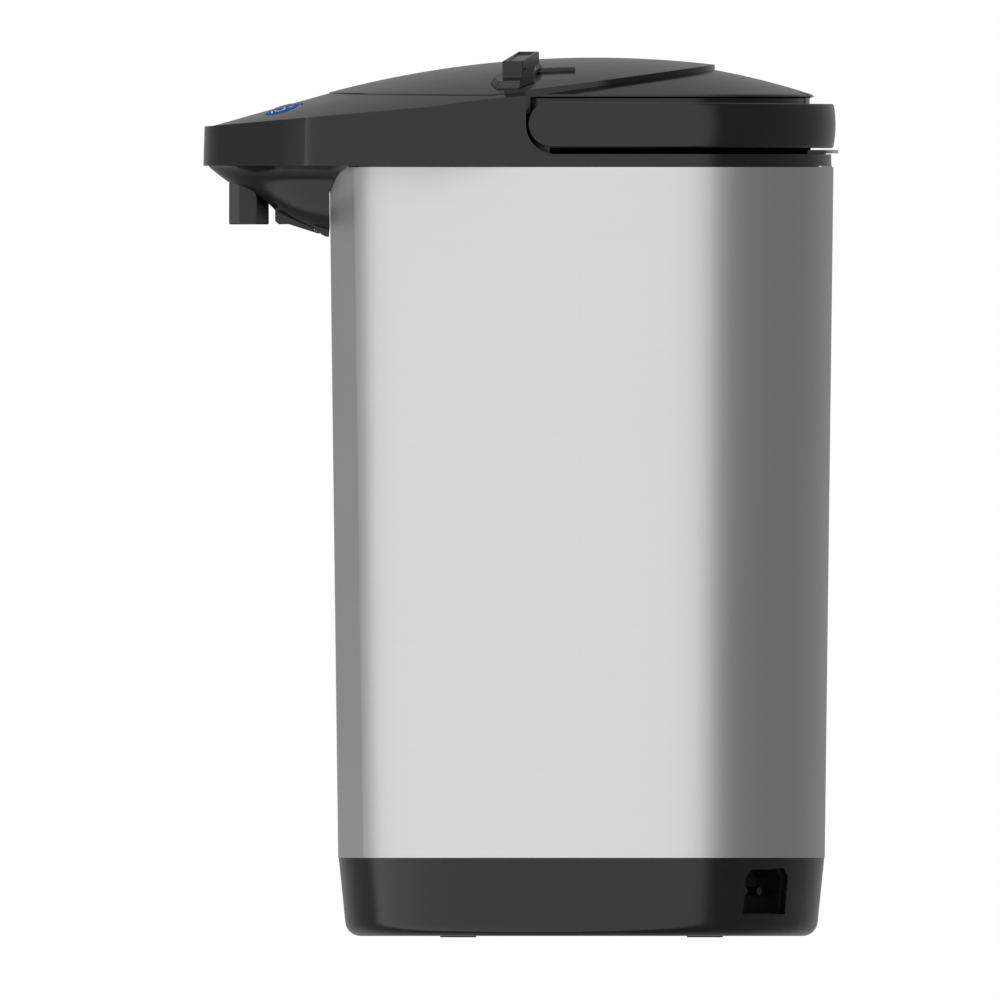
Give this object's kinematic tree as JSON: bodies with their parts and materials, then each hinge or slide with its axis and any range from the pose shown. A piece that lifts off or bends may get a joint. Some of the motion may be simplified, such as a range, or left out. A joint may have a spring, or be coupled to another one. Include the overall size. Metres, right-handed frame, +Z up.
{
  "type": "electric thermo pot",
  "caption": "Upright electric thermo pot with a steel body, hooded spout, hinged lid with an air pump plate, and a swing-up carrying handle.",
  "frame": {"origin": "on the standing surface, under the middle of the whole object's length and width", "axes": "+Z up, -Y towards the spout at the front, +X to the side that carries the dispense button"},
  "size_m": [0.1982, 0.2477, 0.3455],
  "materials": {
    "black_plastic": "satin moulded plastic",
    "body_steel": "fine satin stainless sheet",
    "silver_panel": "silver-grey satin plastic",
    "clear_window": "clear moulded window",
    "clear_tube": "clear tube",
    "panel_plastic": "smooth dark panel",
    "amber_lens": "small tinted lens",
    "blue_button": "blue button",
    "key_plastic": "grey key",
    "grey_plastic": "light grey plastic",
    "socket_plastic": "black plastic",
    "white_plastic": "natural white plastic",
    "rubber": "black rubber",
    "silicone": "translucent silicone",
    "pot_steel": "drawn stainless steel",
    "zinc_steel": "zinc-plated steel",
    "aluminium": "cast aluminium",
    "brass": "brass contact",
    "circuit_board": "green board with parts"
  },
  "bodies": {
    "root": {"base_housing": "black_plastic", "bottom_cover": "black_plastic", "base_feet": "rubber", "base_screws": "zinc_steel", "body_shell": "body_steel", "gauge_panel": "silver_panel", "gauge_window": "clear_window", "level_tube": "clear_tube", "head_housing": "black_plastic", "rear_strip": "zinc_steel", "chin_cover": "black_plastic", "control_panel": "panel_plastic", "indicator_lens": "amber_lens", "nozzle": "black_plastic", "spout_pipe": "silicone", "inner_pot": "pot_steel", "pot_gasket": "silicone", "heater_plate": "aluminium", "thermostat": "zinc_steel", "pump_housing": "white_plastic", "pump_motor": "zinc_steel", "pump_hose": "silicone", "power_board": "circuit_board", "control_board": "circuit_board", "inlet_housing": "socket_plastic", "inlet_pins": "brass", "hinge_bracket": "zinc_steel", "hinge_pin": "zinc_steel", "handle_pins": "socket_plastic", "lever_pin": "zinc_steel"},
    "lid": {"lid_base": "black_plastic", "lid_cover": "black_plastic", "lid_inner_plate": "pot_steel", "lid_gasket": "silicone", "steam_vent": "socket_plastic", "bellows": "rubber", "release_pin": "zinc_steel"},
    "handle": {"carry_handle": "black_plastic"},
    "plate": {"push_plate": "black_plastic"},
    "release": {"release_lever": "black_plastic"},
    "latch": {"latch_bolt": "grey_plastic"},
    "slider": {"lock_slider": "black_plastic"},
    "button": {"dispense_button": "blue_button"},
    "key_middle": {"reboil_key": "key_plastic"},
    "key_far": {"lock_key": "key_plastic"},
    "lever": {"cup_lever": "black_plastic"},
    "tab": {"detach_tab": "grey_plastic"},
    "magnet": {"drive_magnet": "zinc_steel"},
    "rotor": {"impeller": "white_plastic"}
  },
  "joints": [
    {"name": "handle_swing", "type": "hinge", "parent": "root", "child": "handle", "pos_m": [0, 0.01175, 0.3172], "axis": [1, 0, 0], "range_deg": [0, 90]},
    {"name": "lid_hinge", "type": "hinge", "parent": "root", "child": "lid", "pos_m": [0, 0.10665, 0.325], "axis": [-1, 0, 0], "range_deg": [0, 75]},
    {"name": "plate_press", "type": "slide", "parent": "lid", "child": "plate", "axis": [0, 0, -1], "range_m": [0, 0.012], "stiffness_N_per_m": 500, "springref_m": -0.01, "deforming": ["bellows"]},
    {"name": "release_lift", "type": "hinge", "parent": "lid", "child": "release", "pos_m": [0, -0.02495, 0.33809], "axis": [-1, 0, 0], "range_deg": [0, 10], "stiffness_Nm_per_rad": 0.1, "springref_deg": -17.19},
    {"name": "latch_slide", "type": "slide", "parent": "lid", "child": "latch", "axis": [0, 1, 0], "range_m": [0, 0.003]},
    {"name": "lock_slide", "type": "slide", "parent": "lid", "child": "slider", "axis": [0, 0.998, 0.0638], "range_m": [0, 0.011]},
    {"name": "button_press", "type": "slide", "parent": "root", "child": "button", "axis": [-0.0857, 0.2703, -0.959], "range_m": [0, 0.0015], "stiffness_N_per_m": 600, "springref_m": -0.003},
    {"name": "reboil_press", "type": "slide", "parent": "root", "child": "key_middle", "axis": [0, 0.2712, -0.9625], "range_m": [0, 0.001], "stiffness_N_per_m": 600, "springref_m": -0.002},
    {"name": "lock_key_press", "type": "slide", "parent": "root", "child": "key_far", "axis": [0.0857, 0.2703, -0.959], "range_m": [0, 0.001], "stiffness_N_per_m": 600, "springref_m": -0.002},
    {"name": "lever_press", "type": "hinge", "parent": "root", "child": "lever", "pos_m": [0, -0.07975, 0.2762], "axis": [-1, 0, 0], "range_deg": [0, 5], "stiffness_Nm_per_rad": 0.05, "springref_deg": -11.46},
    {"name": "tab_slide", "type": "slide", "parent": "root", "child": "tab", "axis": [0, -1, 0], "range_m": [0, 0.003], "stiffness_N_per_m": 400, "springref_m": -0.005},
    {"name": "pump_spin", "type": "hinge", "parent": "root", "child": "magnet", "pos_m": [0, -0.03435, 0.022], "axis": [0, 0, 1], "continuous": true},
    {"name": "impeller_spin", "type": "hinge", "parent": "root", "child": "rotor", "pos_m": [0, -0.03435, 0.03], "axis": [0, 0, 1], "continuous": true}
  ],
  "couplings": [
    {"joint": "latch_slide", "follows": "release_lift", "m_per_rad": 0.016},
    {"joint": "impeller_spin", "follows": "pump_spin", "ratio": 1}
  ]
}
